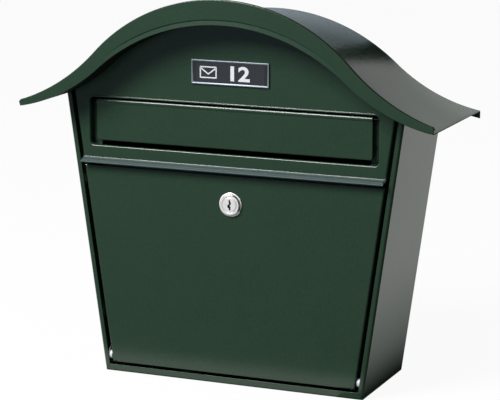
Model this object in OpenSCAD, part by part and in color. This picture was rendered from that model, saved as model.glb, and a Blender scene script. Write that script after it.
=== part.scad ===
/* [Body] */
// Outer width of the body at its bottom edge
bottom_w = 248; // [240:1:256]
// Lean of each side wall from the vertical, in degrees
side_lean = 8; // [7:0.5:9]
// Depth of the body from the wall to its front flange
body_d = 104; // [96:1:120]
// Thickness of the folded sheet
sheet_t = 1; // [0.8:0.1:1.2]
// Width of the front flange along the sides
side_flange = 4.9; // [4.6:0.1:5.4]
// Height of the front flange along the bottom
bottom_flange = 6.2; // [5.5:0.1:6.4]
// Distance of the door's and upper panel's edge from the outer side surface
panel_inset = 8.4; // [8:0.1:9]

/* [Roof] */
// Width of the roof from tip to tip
roof_w = 387; // [380:1:396]
// Distance of the fascia's face in front of the body
overhang = 26; // [22:1:32]
// Height of the roof sheet's underside at the middle
roof_h = 324.1; // [320:0.1:330]
// Radius of the roof's middle arc
roof_crown_r = 174; // [168:1:180]
// Half distance between the two points where the roof's curve turns
roof_turn_x = 115.2; // [112:0.1:118]
// Radius of the upturned end arcs of the roof
roof_sweep_r = 160.8; // [154:0.1:168]
// Height of the flange at the roof's rear edge
rear_flange = 6; // [4:0.5:8]

/* [Fascia] */
// Height of the fascia's top at the middle
fascia_h = 345.8; // [340:0.1:350]
// Radius of the fascia's top arc
fascia_crown_r = 164.1; // [160:0.1:168]
// Half distance between the points where the fascia's top curve turns
fascia_turn_x = 118.7; // [116:0.1:120]
// Radius of the end arcs of the fascia's top
fascia_sweep_r = 178.1; // [174:0.1:184]
// Depth of the return along the fascia's top edge
fascia_return = 4; // [3:0.5:6]
// Depth of the pressed crease
crease_depth = 0.6; // [0.4:0.1:0.7]

/* [Door] */
// Height of the door's lower edge
door_z0 = 8.6; // [8.4:0.1:9]
// Height of the door's upper edge
door_z1 = 189.4; // [187:0.1:190]
// Depth of the door's folded edges
door_fold = 12; // [9:0.5:12.5]
// Height of the door's hinge axis
hinge_z = 14.2; // [14:0.1:14.6]
// Distance of the hinge axis behind the door's face
hinge_v = 5.2; // [5.1:0.1:5.4]

/* [Letter slot] */
// Half width of the recess round the flap
recess_hw = 136.3; // [135:0.1:137]
// Height of the recess's lower edge
recess_z0 = 207.7; // [207:0.1:208.2]
// Height of the recess's upper edge
recess_z1 = 251; // [250.6:0.1:251.4]
// Depth of the recess
recess_v = 8; // [7:0.5:9]
// Half width of the flap
flap_hw = 130; // [129.6:0.1:130.6]
// Height of the flap's lower edge
flap_z0 = 211.8; // [211:0.1:213]
// Height of the flap's hinge axis
flap_axis_z = 247.3; // [247:0.1:247.5]
// Outer radius of the flap's rolled edge
roll_r = 2.4; // [2.2:0.1:2.6]

/* [Lock and name plate] */
// Height of the lock's axis
lock_z = 163.8; // [160:0.1:166]
// Radius of the lock's bezel
bezel_r = 10.8; // [10.4:0.1:11.4]
// Reach of the cam from the lock's axis
cam_reach = 33; // [30:0.5:36]
// Width of the name plate
badge_w = 73; // [66:1:80]
// Height of the name plate
badge_h = 21.4; // [18:0.1:24]
// Height of the name plate's centre
badge_z = 279.4; // [276:0.1:284]

/* [Wall fixing] */
// Distance between the wall screw holes across
holes_x = 180; // [160:1:190]
// Distance between the wall screw holes up and down
holes_z = 130; // [110:1:140]
// Height of the hole pattern's centre above the bottom edge
holes_mid = 105; // [95:1:110]
// Radius of a wall screw hole
hole_r = 3.25; // [2.5:0.05:3.5]

/* [Hidden] */
$fn = 96;
green = [0.2, 0.27, 0.22];
front = -body_d;
lean = tan(side_lean);
half_w = bottom_w / 2;
bend_r = 1.4;
side_bend_r = 2.4;
far = 400;
face_y = front - overhang;
panel_z0 = 196.2;
recess_r = 3.5;
bead_r = 0.9;
bead_out = 0.45;
aperture_hw = 127.5;
aperture_z1 = 244.5;
flap_v = 3.1;
rod_r = 1;
lip_fall = 22.6;
lip_len = 7.9;
axis_y = front + hinge_v;
washer_x0 = 118.25;
ear_x0 = 120.9;
ear_t = 1.5;
pivot_r = 2;
barrel_r = 9.3;
barrel_flat = 8;
barrel_len = 16;
bore_r = 6.05;
plug_r = 6;
tang = 7;
cam_v0 = 17.5;
cam_t = 2;
rail_v = 16.7;
rail_z0 = 183;
rail_t = 1.2;
bezel_t = 3.2;

// Half width of the body's outer surface at a height
function side_x(z) = half_w + z * lean;

// The model is drawn with its bottom edge at zero and hung by its wall holes
module hung() {
  translate([0, 0, -holes_mid]) children();
}

// Both mirrored copies about the middle plane
module both() {
  children();
  mirror([1, 0, 0]) children();
}

// Turns a plan with x across and y up into an upright plate from y0 to y1
module upright(y0, y1) {
  translate([0, y1, 0]) rotate([90, 0, 0]) linear_extrude(y1 - y0) children();
}

// Runs a profile with x outward and y to the wall up along the leaning right side
module along_side(z0, z1) {
  rise = 1 / cos(side_lean);
  translate([half_w, 0, 0]) rotate([0, side_lean, 0]) translate([0, 0, z0 * rise])
    linear_extrude((z1 - z0) * rise) children();
}

// Runs a profile with x to the wall and y up across the box
module across(half) {
  rotate([90, 0, 90]) linear_extrude(2 * half, center = true) children();
}

// Everything under an S-curve with its middle arc, its turning point and its end arcs
module under_s(top, crown_r, turn_x, sweep_r, drop = 0, half = roof_w / 2) {
  a = asin(turn_x / crown_r);
  mid = top - crown_r;
  r1 = crown_r - drop;
  r2 = sweep_r + drop;
  px = r1 * sin(a);
  pz = mid + r1 * cos(a);
  intersection() {
    translate([0, mid]) circle(r1, $fn = 180);
    translate([-px, mid]) square([2 * px, r1 + 1]);
  }
  translate([-px, 0]) square([2 * px, mid]);
  both() difference() {
    translate([px - 0.001, 0]) square([half - px + 0.001, pz]);
    translate([px + r2 * sin(a), pz + r2 * cos(a)]) circle(r2, $fn = 180);
  }
}

module under_roof(drop = 0, half = roof_w / 2) {
  under_s(roof_h, roof_crown_r, roof_turn_x, roof_sweep_r, drop, half);
}

module under_fascia(drop = 0, half = roof_w / 2) {
  under_s(fascia_h, fascia_crown_r, fascia_turn_x, fascia_sweep_r, drop, half);
}

// Trapezoid between two heights, inset square to the leaning sides
module front_plan(z0, z1, inset) {
  x0 = side_x(z0) - inset / cos(side_lean);
  x1 = side_x(z1) - inset / cos(side_lean);
  polygon([[-x0, z0], [x0, z0], [x1, z1], [-x1, z1]]);
}

// Rounded rectangle between two heights
module slot_plan(half, z0, z1, r) {
  difference() {
    translate([-half, z0]) square([2 * half, z1 - z0]);
    for (sx = [-1, 1], top = [0, 1])
      translate([sx * (half - r), top == 1 ? z1 - r : z0 + r]) difference() {
        translate([sx > 0 ? 0 : -r - 1, top == 1 ? 0 : -r - 1]) square(r + 1);
        circle(r);
      }
  }
}

// Fold of a sheet seen end on: outer corner at the origin, one leg back, one leg inward
module fold_profile(inward, depth, t = sheet_t, r = bend_r) {
  difference() {
    union() {
      translate([-inward, 0]) square([inward, t]);
      translate([-t, 0]) square([t, depth]);
    }
    corner_cut(r);
  }
}

// Waste outside a rounded corner at the origin, for a body to the left and above
module corner_cut(r) {
  translate([-r, 0]) difference() {
    translate([0, -1]) square([r + 1, r + 1]);
    translate([0, r]) circle(r, $fn = 48);
  }
}

// Sides and bottom folded from one strip, with a return flange round the front
module body_shell() {
  mitre = atan((side_flange / cos(side_lean) - bottom_flange * lean) / bottom_flange);
  color(green) hung() difference() {
    intersection() {
      upright(front, 0) front_plan(0, 330, 0);
      upright(front - 1, 1) under_roof(0, roof_w / 2 - 5);
    }
    difference() {
      upright(front + sheet_t, 1) front_plan(sheet_t, 340, sheet_t);
      both() along_side(-5, 300) translate([0.03 - sheet_t, front + sheet_t - 0.03])
        corner_cut(side_bend_r - sheet_t);
    }
    upright(front - 1, front + sheet_t + 1)
      front_plan(bottom_flange, 340, side_flange);
    both() along_side(-5, 300) translate([0.03, front - 0.03]) corner_cut(side_bend_r);
    translate([0, front, 0]) across(half_w + 5) rotate(-90) corner_cut(bend_r);
    // mitre joints of the flange's lower corners
    both() translate([half_w, front - 1, 0]) rotate([0, -mitre, 0])
      translate([-0.15, 0, -2]) cube([0.3, 1.4, 12]);
    // room for the roof's rear flange
    upright(-sheet_t - 0.1, 1) difference() {
      translate([-far / 2, 200]) square([far, 160]);
      under_roof(rear_flange + 0.1);
    }
  }
}

module back_panel() {
  inner = sheet_t + 0.01;
  lip = 9;
  color(green) hung() difference() {
    intersection() {
      union() {
        upright(-sheet_t, 0) front_plan(sheet_t, 330, inner);
        both() along_side(sheet_t, 300) translate([-sheet_t - 0.01, 0]) mirror([0, 1])
          fold_profile(4, lip, sheet_t, 0.9);
        translate([0, -lip, sheet_t]) across(half_w) square([lip, sheet_t]);
      }
      upright(-lip - 1, 1) intersection() {
        under_roof(rear_flange + 0.1, roof_w / 2 - 5);
        front_plan(sheet_t, 330, inner);
      }
    }
    for (sx = [-1, 1], sz = [-1, 1])
      translate([sx * holes_x / 2, 1, holes_mid + sz * holes_z / 2])
        rotate([90, 0, 0]) cylinder(r = hole_r, h = 4);
  }
}

module roof_sheet() {
  color(green) hung() {
    upright(face_y + sheet_t, 0) difference() {
      under_roof(-sheet_t);
      under_roof(0, roof_w / 2 + 1);
    }
    upright(-sheet_t, 0) difference() {
      under_roof(-sheet_t);
      under_roof(rear_flange, roof_w / 2 + 1);
    }
  }
}

// Crescent between the roof's line and the fascia's top line, with round tips
module crescent(drop_top = 0) {
  tip_x = roof_w / 2 - 3.1;
  intersection() {
    difference() {
      under_fascia(drop_top);
      under_roof(0, roof_w / 2 + 1);
    }
    union() {
      translate([-tip_x, 200]) square([2 * tip_x, 160]);
      both() translate([tip_x, 245.4]) circle(3.05);
    }
  }
}

// Thin lens that follows the fascia's lower edge and runs out at both ends
module crease_plan() {
  rise = 4.65;
  drop = 7.5;
  translate([0, roof_h - roof_crown_r]) difference() {
    circle(roof_crown_r + rise, $fn = 180);
    translate([0, -drop]) circle(roof_crown_r + rise - 1 + drop, $fn = 180);
  }
}

module front_fascia() {
  color(green) hung() {
    difference() {
      upright(face_y, face_y + sheet_t) crescent();
      upright(face_y - 1, face_y + crease_depth) crease_plan();
    }
    upright(face_y, face_y + fascia_return) difference() {
      crescent();
      under_fascia(sheet_t, roof_w / 2 + 1);
    }
  }
}

// Angle strips between the side walls and the underside of the roof
module roof_seats() {
  color(green) hung() both() upright(front + 18, -14) difference() {
    intersection() {
      front_plan(235, 262, sheet_t + 0.01);
      under_roof(0.01);
      translate([100, 0]) square([80, 300]);
    }
    difference() {
      front_plan(230, 262, sheet_t + 1.21);
      difference() {
        translate([140, 240]) square([60, 60]);
        under_roof(1.2);
      }
    }
  }
}

// Waste that rounds the front edge of the recess
module rim_profile(r) {
  difference() {
    translate([-1, -1]) square([r + 1, r + 1]);
    translate([r, r]) circle(r, $fn = 48);
  }
}

// Runs a profile along the recess's upper or lower edge and round its corners, x outward, y back
module recess_edge(up) {
  hw = recess_hw - recess_r;
  translate([0, front, up == 1 ? recess_z1 : recess_z0]) mirror([0, 0, 1 - up]) {
    across(hw) rotate(-90) mirror([1, 0]) children();
    both() translate([hw, 0, -recess_r]) rotate([-90, 0, 0]) mirror([0, 1, 0])
      rotate_extrude(angle = 90) translate([recess_r, 0]) children();
  }
}

// Rounded bead that stands out along the recess's upper edge
module rim_bead() {
  recess_edge(1) translate([bead_r, bead_r - bead_out]) circle(bead_r, $fn = 32);
  both() translate([recess_hw + bead_r, front + bead_r - bead_out, recess_z1 - recess_r])
    sphere(bead_r, $fn = 32);
}

// Everything that is cut off round the front edge of the recess
module rim_waste() {
  recess_edge(1) translate([-1, -1]) square([1.5, 1.35]);
  recess_edge(0) rim_profile(bend_r);
  both() translate([recess_hw, front, recess_z0 + recess_r])
    linear_extrude(recess_z1 - recess_z0 - 2 * recess_r) rim_profile(bend_r);
}

// Side edge of the upper panel: fold back, then out to the side wall as a channel floor
module channel_profile() {
  floor_v = 9;
  x = -panel_inset - 0.03;
  translate([x - sheet_t, 0.5]) square([sheet_t, floor_v - 0.5]);
  translate([x - sheet_t, floor_v - sheet_t]) square([sheet_t - x - sheet_t - 0.01, sheet_t]);
  translate([-2 * sheet_t - 0.01, floor_v - sheet_t]) square([sheet_t, 9]);
}

// Panel foot bent out into a drip lip, seen end on: x to the wall, y up
module lip_profile() {
  f = lip_fall;
  long = lip_len;
  half = sheet_t / 2;
  turn = (half - half * sin(f)) / cos(f);
  polygon([
    [0, panel_z0 + 2],
    [0, panel_z0 + half * cos(f) - turn * sin(f)],
    [half - half * sin(f) - long * cos(f), panel_z0 + half * cos(f) - long * sin(f)],
    [half + half * sin(f) - long * cos(f), panel_z0 - half * cos(f) - long * sin(f)],
    [sheet_t, panel_z0 - half * cos(f) + turn * sin(f)],
    [sheet_t, panel_z0 + 2]
  ]);
  translate([half - long * cos(f), panel_z0 - long * sin(f)]) circle(0.8, $fn = 32);
}

module upper_plan() {
  intersection() {
    front_plan(panel_z0, 330, 0);
    under_roof(0.1);
  }
}

module upper_panel() {
  color(green) hung() difference() {
    union() {
      difference() {
        union() {
          intersection() {
            union() {
              upright(front, front + sheet_t) difference() {
                front_plan(panel_z0, 330, panel_inset);
                slot_plan(recess_hw + 0.5, recess_z0 - 0.5, recess_z1 + 0.5, recess_r + 0.5);
              }
              both() along_side(panel_z0 - 3, 300) translate([0, front]) channel_profile();
            }
            upright(front - 1, front + 20) upper_plan();
          }
          intersection() {
            translate([0, front, 0]) across(160) lip_profile();
            upright(front - 9, front + 2) front_plan(185, panel_z0 + 1, panel_inset - 0.3);
          }
          recess_walls();
        }
        rim_waste();
      }
      rim_bead();
    }
    both() along_side(panel_z0 + 1, 300)
      translate([-panel_inset - 0.03, front + 0.03]) corner_cut(bend_r);
    translate([0, front + flap_v, flap_axis_z]) rotate([0, 90, 0])
      cylinder(r = rod_r + 0.05, h = 2 * recess_hw + 6, center = true);
    both() translate([badge_w / 2 - 8, front - 1, badge_z]) rotate([-90, 0, 0])
      cylinder(r = 1.3, h = 4);
  }
}

// Wall and floor of the pressed recess, cut open behind the flap and below it
module recess_walls() {
  difference() {
    union() {
      upright(front, front + recess_v) difference() {
        slot_plan(recess_hw + sheet_t, recess_z0 - sheet_t, recess_z1 + sheet_t, recess_r + sheet_t);
        slot_plan(recess_hw, recess_z0, recess_z1, recess_r);
      }
      upright(front + recess_v - sheet_t, front + recess_v)
        slot_plan(recess_hw + 0.5, recess_z0 - 0.5, recess_z1 + 0.5, recess_r + 0.5);
    }
    upright(front + 2.6, front + recess_v + 1)
      slot_plan(aperture_hw, recess_z0 - 6, aperture_z1, 3);
  }
}

module latch_rail() {
  color([0.6, 0.62, 0.62]) hung() intersection() {
    translate([0, front, 0]) across(132) {
      translate([sheet_t + 0.01, 198.2]) square([rail_t, 7.3]);
      translate([sheet_t + 0.01, 198.2]) square([rail_v - sheet_t - 0.01, rail_t]);
      translate([rail_v - rail_t, rail_z0]) square([rail_t, 198.2 + rail_t - rail_z0]);
    }
    upright(front, front + 20) front_plan(180, 210, panel_inset + 8);
  }
}

module slot_flap() {
  v0 = 1.5;
  back_v = v0 + 3.8;
  color(green) hung() difference() {
    translate([0, front, 0]) {
      upright(v0, v0 + sheet_t) flap_plan(0);
      upright(v0, back_v) difference() {
        flap_plan(0);
        flap_plan(sheet_t);
        translate([-far / 2, flap_axis_z - 4]) square([far, 20]);
      }
      translate([0, flap_v, flap_axis_z]) rotate([0, 90, 0])
        cylinder(r = roll_r, h = 2 * flap_hw, center = true);
    }
    translate([0, front + flap_v, flap_axis_z]) rotate([0, 90, 0])
      cylinder(r = rod_r + 0.05, h = 300, center = true);
    translate([0, front + v0, flap_z0]) across(160) rotate(-90) corner_cut(bend_r);
  }
}

// Flap outline with rounded lower corners, drawn in by a margin
module flap_plan(margin) {
  slot_plan(flap_hw - margin, flap_z0 + margin, flap_axis_z - 1.2, 3);
  translate([-flap_hw + margin, flap_axis_z - 10]) square([2 * (flap_hw - margin), 8.8]);
}

module flap_rod() {
  color([0.75, 0.76, 0.77]) hung() translate([0, front + flap_v, flap_axis_z])
    rotate([0, 90, 0]) cylinder(r = rod_r, h = 2 * (recess_hw + sheet_t + 3.2), center = true);
}

// Domed push-on caps that grip the rod's ends
module flap_rod_caps() {
  color([0.75, 0.76, 0.77]) hung() both()
    translate([recess_hw + sheet_t + 0.1, front + flap_v, flap_axis_z]) rotate([0, 90, 0])
      difference() {
        union() {
          cylinder(r = 1.7, h = 0.6, $fn = 48);
          cylinder(r = 1.5, h = 3, $fn = 48);
          translate([0, 0, 3]) cylinder(r1 = 1.5, r2 = 1, h = 0.7, $fn = 48);
        }
        translate([0, 0, -1]) cylinder(r = rod_r + 0.01, h = 1 + 3.2);
      }
}

module flap_buffers() {
  color([0.08, 0.08, 0.08]) hung() both()
    translate([flap_hw + 0.2, front + recess_v - sheet_t, 222]) rotate([90, 0, 0]) {
      cylinder(r = 2.2, h = 0.9, $fn = 48);
      translate([0, 0, 0.9]) cylinder(r1 = 2.2, r2 = 1.7, h = 0.5, $fn = 48);
    }
}

module badge_plan(margin, r) {
  slot_plan(badge_w / 2 - margin, badge_z - badge_h / 2 + margin, badge_z + badge_h / 2 - margin, r);
}

module badge_frame() {
  color([0.62, 0.64, 0.67]) hung() difference() {
    upright(front - 1.6, front - 0.01) badge_plan(0, 1.2);
    upright(front - 3, front - 0.6) badge_plan(1.9, 0.6);
    both() translate([badge_w / 2 - 8, front - 1, badge_z]) rotate([-90, 0, 0])
      cylinder(r = 1.25, h = 4);
  }
}

module badge_field() {
  color([0.2, 0.21, 0.22]) hung() upright(front - 1.1, front - 0.61) badge_plan(1.95, 0.55);
}

// Studs pressed through the upper panel with flat heads behind it
module badge_pins() {
  color([0.62, 0.64, 0.67]) hung() both()
    translate([badge_w / 2 - 8, front - 0.58, badge_z]) rotate([-90, 0, 0]) {
      cylinder(r = 1.2, h = sheet_t + 1.2);
      translate([0, 0, sheet_t + 0.6]) cylinder(r = 2.6, h = 0.8);
    }
}

module door_side() {
  along_side(door_z0, door_z1) translate([-panel_inset, front]) fold_profile(8, door_fold);
}

module door_pan() {
  color(green) hung() difference() {
    intersection() {
      union() {
        upright(front, front + sheet_t) front_plan(door_z0, door_z1, panel_inset + 4);
        both() door_side();
        translate([0, front, 0]) {
          across(160) translate([0, door_z0]) square([door_fold, sheet_t]);
          across(160) translate([0, door_z1 - sheet_t]) square([door_fold, sheet_t]);
        }
      }
      upright(front - 1, front + 30) front_plan(door_z0, door_z1, panel_inset);
      translate([0, front, 0]) across(200) difference() {
        translate([0, door_z0]) square([door_fold, door_z1 - door_z0]);
        translate([0, door_z0]) rotate(-90) corner_cut(bend_r);
        translate([0, door_z1]) mirror([0, 1]) rotate(-90) corner_cut(bend_r);
      }
    }
    // open corners between neighbouring folds
    both() for (z = [door_z0, door_z1 - 1.6])
      translate([side_x(z) - panel_inset - 2.4, front + 2.4, z - 0.1]) cube([0.7, 20, 1.8]);
    // pivot holes
    translate([0, axis_y, hinge_z]) rotate([0, 90, 0])
      cylinder(r = pivot_r + 0.05, h = 300, center = true);
    lock_hole();
  }
}

module lock_hole() {
  translate([0, front - 1, lock_z]) rotate([-90, 0, 0]) intersection() {
    cylinder(r = barrel_r + 0.05, h = 4);
    translate([-barrel_flat - 0.05, -20, 0]) cube([2 * barrel_flat + 0.1, 40, 4]);
  }
}

// Ears behind the front flange with a foot on the bottom sheet
module hinge_brackets() {
  wide = 16;
  foot = 10;
  color([0.6, 0.62, 0.62]) hung() both() difference() {
    union() {
      translate([ear_x0, front + sheet_t + 0.4, sheet_t + 0.01]) cube([ear_t, wide, hinge_z]);
      translate([ear_x0 - foot, front + sheet_t + 0.4, sheet_t + 0.01]) cube([foot + 1, wide, 1.2]);
      translate([ear_x0, axis_y + 3.9, hinge_z]) rotate([0, 90, 0]) cylinder(r = 8, h = ear_t);
    }
    translate([ear_x0 - 1, front - 10, 0]) cube([10, 10 + sheet_t + 0.4, 40]);
    translate([0, axis_y, hinge_z]) rotate([0, 90, 0]) cylinder(r = pivot_r + 0.02, h = 200);
  }
}

// Shoulder rivets: formed head inside the door fold, flat head outside the ear
module hinge_rivets() {
  head_x = side_x(hinge_z) - panel_inset - sheet_t / cos(side_lean) - 0.75;
  color([0.75, 0.76, 0.77]) hung() both()
    translate([head_x - 1.4, axis_y, hinge_z]) rotate([0, 90, 0]) {
      cylinder(r1 = 2.8, r2 = 3.4, h = 0.6, $fn = 48);
      translate([0, 0, 0.6]) cylinder(r = 3.4, h = 0.8, $fn = 48);
      cylinder(r = pivot_r, h = ear_x0 + ear_t - head_x + 1.5);
      translate([0, 0, ear_x0 + ear_t - head_x + 1.4]) cylinder(r = 3.4, h = 0.9, $fn = 48);
    }
}

module hinge_washers() {
  color([0.88, 0.9, 0.92]) hung() both()
    translate([washer_x0, axis_y, hinge_z]) rotate([0, 90, 0]) rotate_extrude() {
      translate([pivot_r + 0.03, 0]) square([4 - pivot_r - 0.03, ear_x0 - 0.02 - washer_x0]);
    }
}

// Places a lock piece on the lock's axis, with +Z of the piece pointing to the wall
module on_lock(v) {
  translate([0, front + v, lock_z]) rotate([-90, 0, 0]) children();
}

module lock_body() {
  color([0.8, 0.8, 0.8]) hung() on_lock(0) difference() {
    union() {
      rotate_extrude() difference() {
        polygon([[0, -bezel_t], [8.7, -bezel_t], [9, -bezel_t + 0.3], [9.3, -1.6], [9.7, -1],
          [bezel_r - 0.3, -0.8], [bezel_r, -0.5], [bezel_r, 0], [0, 0]]);
        translate([6.9, -bezel_t]) circle(0.35, $fn = 24);
      }
      intersection() {
        rotate_extrude() polygon([[0, -0.1], [barrel_r, -0.1], [barrel_r, barrel_len + 0.4],
          [barrel_r - 0.6, barrel_len + 1], [0, barrel_len + 1]]);
        translate([-barrel_flat, -20, -0.1]) cube([2 * barrel_flat, 40, barrel_len + 2]);
      }
    }
    translate([0, 0, -10]) cylinder(r = bore_r, h = 40);
  }
}

// Zig-zag key slot, drawn upright
module keyway() {
  polygon([[-0.6, 4.6], [0.8, 4.6], [0.8, 3.2], [1.5, 2.6], [1.5, 0.7], [0.7, 0],
    [0.7, -1], [1.2, -1.5], [1.2, -4.6], [-0.5, -4.6], [-0.5, -2.7], [-1.8, -2.2],
    [-1.8, -0.5], [-1.1, 0.4], [-0.3, 0.8], [-0.3, 2.2], [-0.6, 2.6]]);
}

module lock_plug() {
  color([0.72, 0.72, 0.72]) hung() on_lock(0) difference() {
    union() {
      translate([0, 0, -bezel_t - 0.1]) cylinder(r = plug_r, h = cam_v0 - 0.2 + bezel_t + 0.1);
      translate([-tang / 2, -tang / 2, cam_v0 - 0.2]) cube([tang, tang, cam_t + 0.2]);
    }
    translate([0, 0, -bezel_t - 1]) linear_extrude(11) mirror([0, 1]) keyway();
    translate([-3.6, 0, -bezel_t - 0.6]) cylinder(r = 0.45, h = 1, $fn = 24);
    translate([0, 0, 10]) cylinder(r = 1.7, h = 20);
  }
}

module lock_washer() {
  teeth = 10;
  color([0.7, 0.71, 0.72]) hung() on_lock(sheet_t + 0.05) difference() {
    cylinder(r = 12, h = 0.7);
    translate([0, 0, -1]) cylinder(r = barrel_r + 0.06, h = 3);
    for (i = [0:teeth - 1]) rotate(i * 360 / teeth)
      translate([10.9, -0.8, -1]) cube([3, 1.6, 3]);
  }
}

module lock_nut() {
  color([0.7, 0.71, 0.72]) hung() on_lock(sheet_t + 0.8) difference() {
    intersection() {
      cylinder(r = 11 / cos(30), h = 2.8, $fn = 6);
      rotate_extrude() polygon([[0, 0], [11.6, 0], [12.8, 0.6], [12.8, 2.2], [11.6, 2.8], [0, 2.8]]);
    }
    translate([0, 0, -1]) cylinder(r = barrel_r + 0.06, h = 6);
  }
}

module lock_cam() {
  tip = cam_reach - 5;
  color([0.68, 0.69, 0.7]) hung() on_lock(cam_v0) difference() {
    union() {
      cylinder(r = 8, h = cam_t);
      linear_extrude(cam_t) polygon([[0, -8], [tip, -5], [tip, 5], [0, 8]]);
      translate([tip, 0, 0]) cylinder(r = 5, h = cam_t);
    }
    translate([-tang / 2 - 0.03, -tang / 2 - 0.03, -1]) cube([tang + 0.06, tang + 0.06, 4]);
  }
}

module cam_washer() {
  color([0.7, 0.71, 0.72]) hung() on_lock(cam_v0 + cam_t + 0.02) difference() {
    cylinder(r = 6.5, h = 0.9);
    translate([0, 0, -1]) cylinder(r = 1.75, h = 3);
  }
}

module cam_screw() {
  color([0.75, 0.76, 0.77]) hung() on_lock(cam_v0 + cam_t + 0.94) difference() {
    union() {
      rotate_extrude() intersection() {
        translate([0, -3.4]) circle(5.8, $fn = 64);
        square([4.2, 3]);
      }
      translate([0, 0, -8]) cylinder(r = 1.68, h = 8.2);
    }
    for (a = [0, 90]) rotate(a) translate([-2.4, -0.4, 1]) cube([4.8, 0.8, 3]);
  }
}

body_shell();
back_panel();
roof_sheet();
front_fascia();
roof_seats();
upper_panel();
latch_rail();
slot_flap();
flap_rod();
flap_rod_caps();
flap_buffers();
badge_frame();
badge_field();
badge_pins();
door_pan();
hinge_brackets();
hinge_rivets();
hinge_washers();
lock_body();
lock_plug();
lock_washer();
lock_nut();
lock_cam();
cam_washer();
cam_screw();
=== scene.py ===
import math

import bpy
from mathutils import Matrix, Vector


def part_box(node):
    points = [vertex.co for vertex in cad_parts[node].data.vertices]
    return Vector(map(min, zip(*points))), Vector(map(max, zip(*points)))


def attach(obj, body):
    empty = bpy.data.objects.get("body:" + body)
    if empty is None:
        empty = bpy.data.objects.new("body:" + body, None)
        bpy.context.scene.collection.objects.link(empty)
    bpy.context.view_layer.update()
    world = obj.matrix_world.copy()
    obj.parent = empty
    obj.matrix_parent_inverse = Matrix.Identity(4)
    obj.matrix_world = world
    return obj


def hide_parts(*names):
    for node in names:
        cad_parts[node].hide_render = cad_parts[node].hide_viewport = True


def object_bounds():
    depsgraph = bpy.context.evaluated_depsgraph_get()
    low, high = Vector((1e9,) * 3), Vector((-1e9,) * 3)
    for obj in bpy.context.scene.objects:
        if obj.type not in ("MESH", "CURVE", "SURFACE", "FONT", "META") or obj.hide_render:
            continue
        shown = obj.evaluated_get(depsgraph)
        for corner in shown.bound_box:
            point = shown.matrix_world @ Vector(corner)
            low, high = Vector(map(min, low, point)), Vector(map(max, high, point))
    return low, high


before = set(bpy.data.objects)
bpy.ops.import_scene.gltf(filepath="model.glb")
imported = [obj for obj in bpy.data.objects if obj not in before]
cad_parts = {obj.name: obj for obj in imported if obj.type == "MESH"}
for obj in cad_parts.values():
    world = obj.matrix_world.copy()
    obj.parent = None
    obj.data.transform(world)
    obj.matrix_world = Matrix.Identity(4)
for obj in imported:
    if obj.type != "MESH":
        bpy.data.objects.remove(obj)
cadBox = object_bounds()
print("frame loaded:", len(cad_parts), "nodes")


def hexColour(code):  # sRGB hex to the linear colour a shader reads
    channels = []
    for start in (0, 2, 4):
        value = int(code[start:start + 2], 16) / 255
        channels.append(value / 12.92 if value <= 0.04045 else ((value + 0.055) / 1.055) ** 2.4)
    return (*channels, 1.0)


def addNode(tree, kind, values=None, feeds=None, **settings):
    node = tree.nodes.new(kind)
    for name, value in settings.items():
        setattr(node, name, value)
    for socket, value in (values or {}).items():
        node.inputs[socket].default_value = value
    for socket, source in (feeds or {}).items():
        tree.links.new(source, node.inputs[socket])
    return node


def newMaterial(name):
    material = bpy.data.materials.new(name)
    material.use_nodes = True
    tree = material.node_tree
    tree.nodes.clear()
    shader = addNode(tree, "ShaderNodeBsdfPrincipled")
    addNode(tree, "ShaderNodeOutputMaterial", feeds={"Surface": shader.outputs[0]})
    place = addNode(tree, "ShaderNodeTexCoord").outputs["Object"]
    return material, tree, shader, place


# Polyester powder coat, sprayed and baked on folded steel: a moss green with faint flecks
# of pigment, flow-out bumps a few millimetres wide that bend the reflections, and a grain
# that breaks them into speckle. The grain is drawn coarser than the real 0.2 mm to show.
powderCoat = {
    "green": ("22362A", "2E4531"),
    "lipLitGreen": ("3C4C4A", "455654"),     # paler on the ribs of the lip: a painted highlight for the light that falls on them
    "roofShadedGreen": ("1A281D", "1E2D21"),    # darker on the roof: painted shade
    "roughness": 0.20,
    "lipRoughness": 0.38,
    "duller": 0.06,       # roughness on top of that where a grain stands up
    "glossier": 0.05,     # and how much less between the grains
    "gloss": 0.5,
    "lipGloss": 0.2,
    "ior": 1.5,
    "cloud": 0.035,       # width of one slow change of shade
    "fleck": 0.0022,      # width of one paler or darker fleck of pigment
    "fleckShare": 0.65,   # share of the flecks in the shade, the clouds have the rest
    "peel": 0.0030,       # width of one flow-out bump
    "peelDepth": 0.0002,
    "peelStrength": 0.22,
    "grain": 0.0008,      # width of one grain of the coat
    "grainDepth": 0.0001,
    "grainStrength": 0.42,
    "grainSpan": (0.3, 0.7),  # height of the lowest and the highest grain, as a share
    "roofCoarse": 3.0,    # how much wider bumps and grain are on the roof
    "deepen": 1.4,        # power by which a wider grain is deeper too
    "edge": 0.00035,      # radius the coat builds up over a sheared edge
    "gap": 0.007,         # depth of the gaps that get painted shade
    "shadeShut": 0.28,      # openness at which the painted shade is darkest
    "shadeOpen": 0.58,      # openness from which there is no painted shade
    "shadeLeast": 0.02,      # share of the colour and gloss left where the painted shade is darkest
}


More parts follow.
